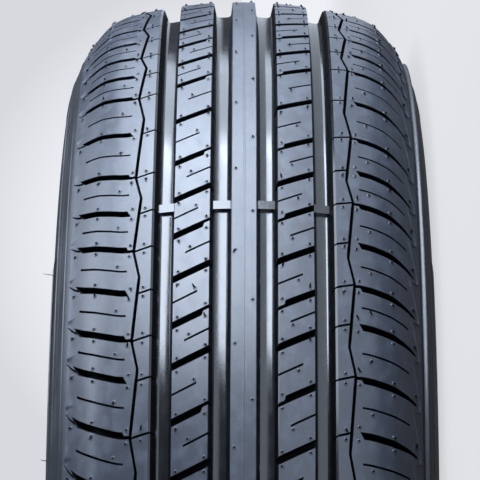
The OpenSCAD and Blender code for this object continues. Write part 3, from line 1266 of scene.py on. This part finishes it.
# Near-black finish with little specular for the walls and floors of slots, sipes and the zigzag groove, the
# steep groove walls and the vent stubs: painted shade of those recesses, which are the same rubber as the
# blocks.
CUT_SHADE_RUBBER = Rubber("cut_rubber_painted_shade", (0.003, 0.003, 0.004), (0.006, 0.007, 0.009), 0.6, 0.7, 0.1, specular=0.1)
SIDE_RUBBER = Rubber(
    "side_rubber", (0.038, 0.044, 0.058), (0.068, 0.078, 0.100), 0.28, 0.36, 0.2, patch=(60.0, 24.0, 60.0)
)
LINER_RUBBER = Rubber(
    "liner_rubber", (0.020, 0.020, 0.022), (0.040, 0.040, 0.042), 0.38, 0.5, 0.4, 0.5, patch=(40.0,) * 3
)


@dataclass(frozen=True)
class Studio:
    """Pale floor, pale surroundings, soft lamps and the camera at the photograph's angle."""

    pale: Triple = (0.976, 0.992, 1.045)
    lamp_colour: Triple = (0.75, 0.85, 1.0)
    # The next three set the floor that rays other than the camera's see: a dark colour close round the tyre,
    # fading to a pale one between the two radii in metres. The dark ring is a painted shadow, which the
    # tyre's lower shoulder mirrors.
    painted_shadow_near: Triple = (0.10, 0.10, 0.105)
    floor_far: Triple = (0.68, 0.76, 0.88)
    painted_shadow_radii: Pair = (0.34, 0.41)
    edge_fall: float = 45.7
    least_pale: float = 0.7
    floor_level: float = 0.88
    floor_lit: Triple = (0.95, 0.84, 0.71)
    mirrored_level: float = 1.0
    shadow_share: float = 0.3
    shadow_reach: Pair = (0.9, 1.9)
    camera_at: Triple = (-0.07806, -1.81176, 0.00649)
    forward: Triple = (0.14325, 0.98968, -0.00296)
    right: Triple = (0.00572, -0.00382, -0.99998)
    lens: float = 248.3
    sensor: float = 36.0
    floor_size: float = 60.0
    world_light: float = 0.08
    world_colour: Triple = (0.93, 0.96, 1.0)
    # Name, place, size and watts of each lamp.
    lamps: tuple[tuple[str, Triple, Pair, float], ...] = (
        ("softbox", (2.05, -1.04, 0.3), (2.2, 1.1), 56.0),
        ("top_softbox", (2.3, 0.45, 0.32), (1.6, 1.0), 15.0),
        ("ceiling", (1.1, -0.35, 1.3), (1.3, 1.3), 15.0),
        ("side_softbox", (1.15, 0.85, 1.7), (1.1, 1.1), 4.5),
    )

    def camera(self) -> None:
        """Camera level with the mid-plane and rolled a quarter turn, as the photograph shows the tyre."""
        data = bpy.data.cameras.new("camera")
        data.lens = self.lens
        data.sensor_width = self.sensor
        data.clip_start, data.clip_end = 0.05, 100.0
        ahead = Vector(self.forward).normalized()
        right = Vector(self.right)
        right = (right - ahead * right.dot(ahead)).normalized()
        up = right.cross(ahead)
        turn = Matrix((right, up, -ahead)).transposed()
        eye = bpy.data.objects.new("camera", data)
        eye.matrix_world = Matrix.Translation(self.camera_at) @ turn.to_4x4()
        bpy.context.scene.collection.objects.link(eye)
        bpy.context.scene.camera = eye

    def lamp(self, name: str, at: Triple, size: Pair, power: float) -> None:
        """Soft rectangular lamp that looks at the tyre.

        Args:
            name: Name of the lamp.
            at: Where it hangs.
            size: Its width and height.
            power: Its power in watts.
        """
        data = bpy.data.lights.new(name, "AREA")
        data.shape = "RECTANGLE"
        data.size, data.size_y = size
        data.energy = power
        data.color = self.lamp_colour
        lamp = bpy.data.objects.new(name, data)
        lamp.location = at
        lamp.rotation_mode = "QUATERNION"
        lamp.rotation_quaternion = (-Vector(at)).to_track_quat("-Z", "Y")
        bpy.context.scene.collection.objects.link(lamp)

    def floor(self, height: float) -> None:
        """Wide pale floor under the tyre. Rays other than the camera's see it painted dark close round the
        tyre, a painted shadow, and glossy rays see that colour glowing, a painted reflection.

        Args:
            height: Height of the floor.
        """
        half = self.floor_size / 2
        corners = [(-half, -half, height), (half, -half, height), (half, half, height), (-half, half, height)]
        data = bpy.data.meshes.new("floor")
        data.from_pydata(corners, [], [(0, 1, 2, 3)])
        owner = bpy.data.materials.new("pale_floor")
        tree = Tree(owner)
        seen, mirrored = self.rays(tree)
        place = tree.node("ShaderNodeNewGeometry", output="Position")
        away = tree.node("ShaderNodeVectorMath", {"operation": "LENGTH"}, {0: place}, "Value")
        lit = tree.node("ShaderNodeBsdfDiffuse", inputs={"Color": (*self.floor_lit, 1.0)})
        even = {"Color": (*self.pale, 1.0), "Strength": self.floor_level}
        shown = tree.node("ShaderNodeEmission", inputs=even)
        share = (1 - away.ramp(*self.shadow_reach)) * self.shadow_share
        pale_floor = tree.node("ShaderNodeMixShader", inputs={0: share, 1: shown, 2: lit})
        # Painted shadow: the floor is dark close round the tyre for rays other than the camera's. Diffuse
        # rays take it as bounce light, and glossy rays see it glowing, a painted reflection.
        colour = tree.blend(away.ramp(*self.painted_shadow_radii), self.painted_shadow_near, self.floor_far)
        dark = tree.node("ShaderNodeBsdfDiffuse", inputs={"Color": colour})
        painted_reflection_glow = tree.node("ShaderNodeEmission", inputs={"Color": colour, "Strength": self.mirrored_level})
        unseen = tree.node("ShaderNodeMixShader", inputs={0: mirrored, 1: dark, 2: painted_reflection_glow})
        shader = tree.node("ShaderNodeMixShader", inputs={0: seen, 1: unseen, 2: pale_floor})
        tree.finish("ShaderNodeOutputMaterial", shader)
        data.materials.append(owner)
        floor = bpy.data.objects.new("floor", data)
        bpy.context.scene.collection.objects.link(floor)

    @staticmethod
    def rays(tree: Tree) -> tuple[Value, Value]:
        """Rays that see the pale background as it is, and rays that a glossy surface mirrors."""
        camera = tree.node("ShaderNodeLightPath", output="Is Camera Ray")
        outputs = camera.socket.node.outputs
        seen = camera.math("MAXIMUM", Value(tree, outputs["Is Transmission Ray"]))
        return seen, Value(tree, outputs["Is Glossy Ray"])

    def backdrop(self, tree: Tree) -> Value:
        """Pale colour of the surroundings, brightest in the direction behind the tyre.

        Args:
            tree: Tree that takes the nodes.

        Returns:
            The colour.
        """
        forward = tuple(Vector(self.forward).normalized())
        ahead = tree.node("ShaderNodeTexCoord", output="Generated")
        away = tree.node("ShaderNodeVectorMath", {"operation": "DISTANCE"}, {0: ahead, 1: forward}, "Value")
        level = (1.0 - away * away * self.edge_fall).math("MAXIMUM", self.least_pale)
        return tree.node("ShaderNodeVectorMath", {"operation": "SCALE"}, {0: self.pale, "Scale": level})

    def world(self) -> None:
        """Plain level of light, and the pale colour where the camera looks past the floor."""
        owner = bpy.data.worlds.new("studio")
        bpy.context.scene.world = owner
        tree = Tree(owner)
        seen, _ = self.rays(tree)
        plain = {"Color": (*self.world_colour, 1.0), "Strength": self.world_light}
        light = tree.node("ShaderNodeBackground", inputs=plain)
        view = tree.node("ShaderNodeBackground", inputs={"Color": self.backdrop(tree), "Strength": 1.0})
        mixed = tree.node("ShaderNodeMixShader", inputs={0: seen, 1: light, 2: view})
        tree.finish("ShaderNodeOutputWorld", mixed)

    def build(self, ground: float) -> None:
        """Set up the whole studio.

        Args:
            ground: Height of the floor.
        """
        bpy.context.scene.view_settings.view_transform = "Standard"
        self.camera()
        self.floor(ground)
        self.world()
        for row in self.lamps:
            self.lamp(*row)


def dress(piece: bpy.types.Object, finishes: Sequence[bpy.types.Material]) -> None:
    """Give a piece its finishes, its shading and its body.

    Args:
        piece: Piece to dress.
        finishes: Materials in the order of Skin.
    """
    skins = np.zeros(len(piece.data.polygons), np.int32)
    piece.data.polygons.foreach_get("material_index", skins)
    piece.data.materials.clear()
    for finish in finishes:
        piece.data.materials.append(finish)
    piece.data.polygons.foreach_set("material_index", skins)
    piece.data.shade_smooth()
    piece.data.set_sharp_from_angle(angle=SHARP_ANGLE)
    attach(piece, BODY)
    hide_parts(NODE)
    piece.data.calc_loop_triangles()
    log.info("%s: %d triangles", piece.name, len(piece.data.loop_triangles))


def drop_hidden(piece: bpy.types.Object) -> None:
    """Delete the faces that close a piece on its hidden side."""
    mesh = bmesh.new()
    mesh.from_mesh(piece.data)
    hidden = [f for f in mesh.faces if f.material_index == Skin.HIDDEN.value]
    bmesh.ops.delete(mesh, geom=hidden, context="FACES")
    mesh.to_mesh(piece.data)
    mesh.free()


def main() -> None:
    """Build the tyre's pieces around the frame."""
    logging.basicConfig(level=logging.INFO, format="%(message)s")
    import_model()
    low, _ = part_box(NODE)
    Studio().build(low.z - SideRelief.field_height * MM)
    tread_finish = [f.material() for f in (BLOCK_RUBBER, GROOVE_SHADE_RUBBER, CUT_SHADE_RUBBER)]
    side_finish = [SIDE_RUBBER.material()]
    liner_finish = [LINER_RUBBER.material()]
    for half in Half:
        tread = TreadHalf(half)
        piece = tread.build()
        drop_hidden(piece)
        dress(piece, tread_finish)
        dress(Vents(tread).build(), tread_finish)
        wall = Sidewall(half)
        outer, liner = wall.build()
        dress(outer, side_finish)
        dress(liner, liner_finish)
        dress(SideRelief(wall).build(), side_finish)
    dress(CentreRib().build(), tread_finish)


if __name__ == "__main__":
    main()
